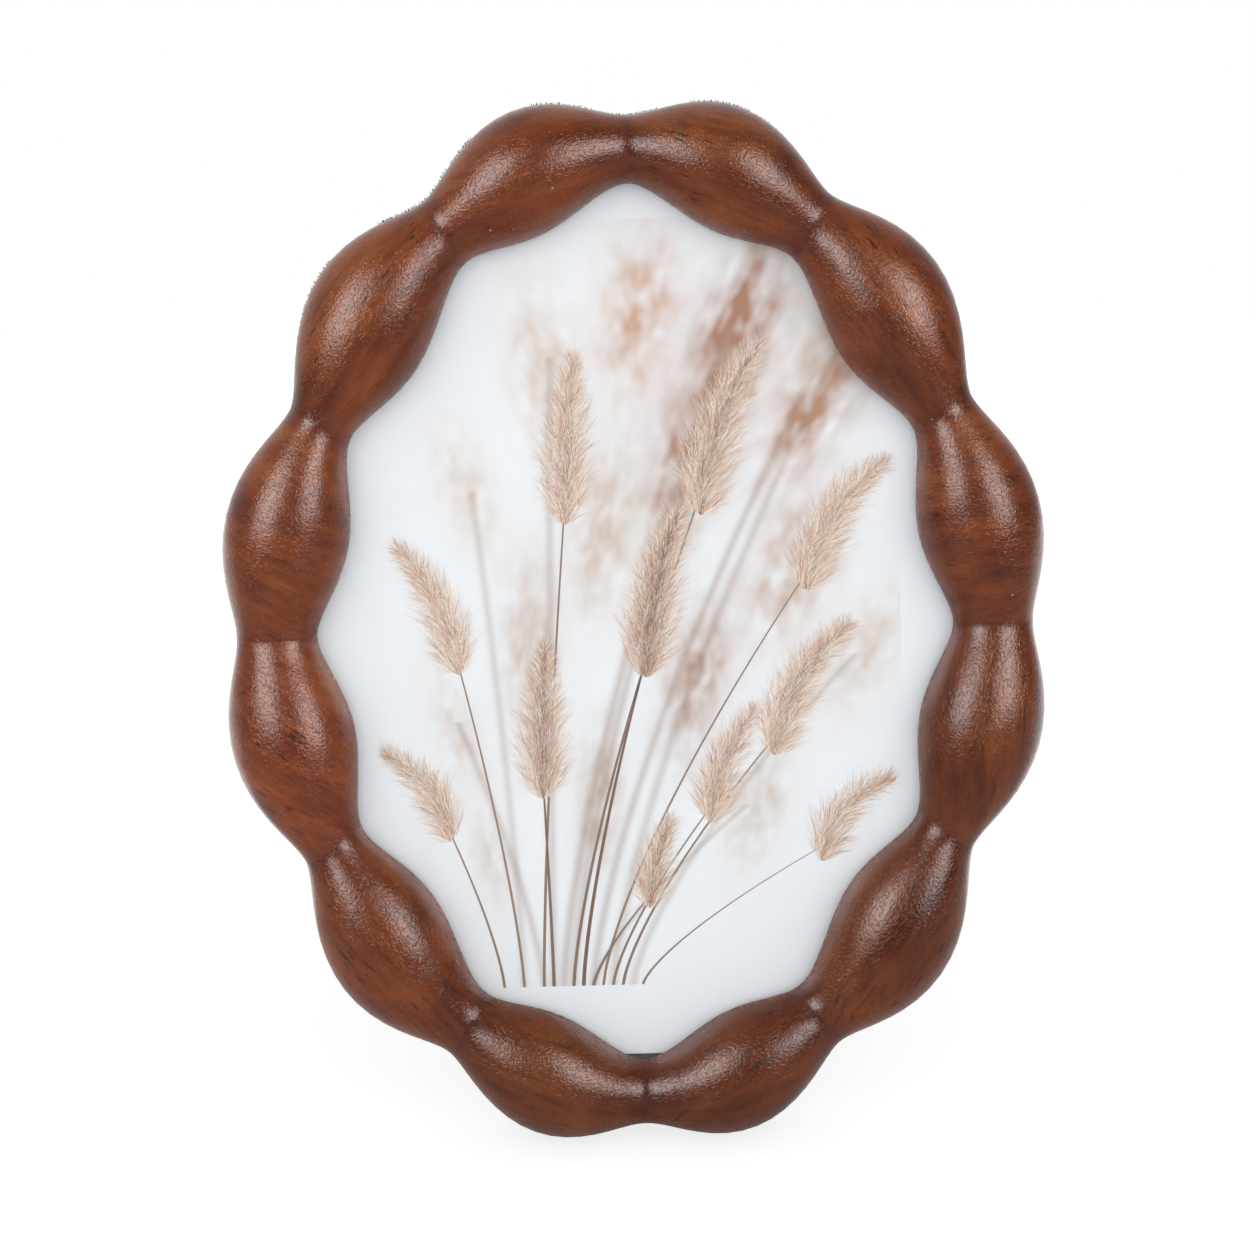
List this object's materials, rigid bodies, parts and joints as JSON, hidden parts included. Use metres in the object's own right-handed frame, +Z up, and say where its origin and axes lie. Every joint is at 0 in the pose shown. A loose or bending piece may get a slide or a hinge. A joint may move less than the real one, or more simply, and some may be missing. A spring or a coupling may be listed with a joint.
{
  "type": "picture frame",
  "caption": "Oval table picture frame: carved beaded wooden ring with glass, print and backer, on a folding easel leg.",
  "frame": {"origin": "centre of the bounding box's footprint, on the table that the frame stands on", "axes": "+Z up, front of the frame towards -Y, leaning back towards +Y, +X to the right as seen from the front"},
  "size_m": [0.163, 0.0906, 0.2006],
  "materials": {
    "ring_wood": "satin lacquer over brown stain",
    "velvet": "black flocked sheet",
    "glass": "clear float glass, ground edge",
    "print": "satin photo card",
    "filler": "uncoated grey board",
    "fibreboard": "raw fibreboard",
    "hinge_steel": "nickel plated sheet",
    "button_steel": "blackened sheet steel",
    "screw_steel": "zinc plated",
    "rivet_steel": "nickel plated",
    "hanger_steel": "brass washed sheet steel"
  },
  "bodies": {
    "frame": {"frame_ring": "ring_wood", "ring_velvet": "velvet", "glass_pane": "glass", "print_card": "print", "filler_card": "filler", "backer_board": "fibreboard", "backer_velvet": "velvet", "hinge_leaf_backer": "hinge_steel", "hinge_pin": "hinge_steel", "sawtooth_hanger": "hanger_steel", "backer_rivet_left": "rivet_steel", "backer_rivet_right": "rivet_steel", "hanger_nail_left": "hanger_steel", "hanger_nail_right": "hanger_steel", "button_screw_upper_right": "screw_steel", "button_screw_lower_right": "screw_steel", "button_screw_lower_left": "screw_steel", "button_screw_upper_left": "screw_steel"},
    "leg": {"hinge_leaf_leg": "hinge_steel", "leg_board": "fibreboard", "leg_velvet": "velvet", "leg_rivet_left": "rivet_steel", "leg_rivet_right": "rivet_steel"},
    "button_upper_right": {"turn_button_upper_right": "button_steel"},
    "button_lower_right": {"turn_button_lower_right": "button_steel"},
    "button_lower_left": {"turn_button_lower_left": "button_steel"},
    "button_upper_left": {"turn_button_upper_left": "button_steel"}
  },
  "joints": [
    {"name": "leg_hinge", "type": "hinge", "parent": "frame", "child": "leg", "pos_m": [0, 0.01121, 0.14266], "axis": [-1, 0, 0], "range_deg": [0, 27]},
    {"name": "button_turn_upper_right", "type": "hinge", "parent": "frame", "child": "button_upper_right", "pos_m": [0.05408, 0.01447, 0.16159], "axis": [0, 0.9659, -0.2588], "continuous": true},
    {"name": "button_turn_lower_right", "type": "hinge", "parent": "frame", "child": "button_lower_right", "pos_m": [0.05408, -0.01925, 0.03577], "axis": [0, 0.9659, -0.2588], "continuous": true},
    {"name": "button_turn_lower_left", "type": "hinge", "parent": "frame", "child": "button_lower_left", "pos_m": [-0.05408, -0.01925, 0.03577], "axis": [0, 0.9659, -0.2588], "continuous": true},
    {"name": "button_turn_upper_left", "type": "hinge", "parent": "frame", "child": "button_upper_left", "pos_m": [-0.05408, 0.01447, 0.16159], "axis": [0, 0.9659, -0.2588], "continuous": true}
  ]
}
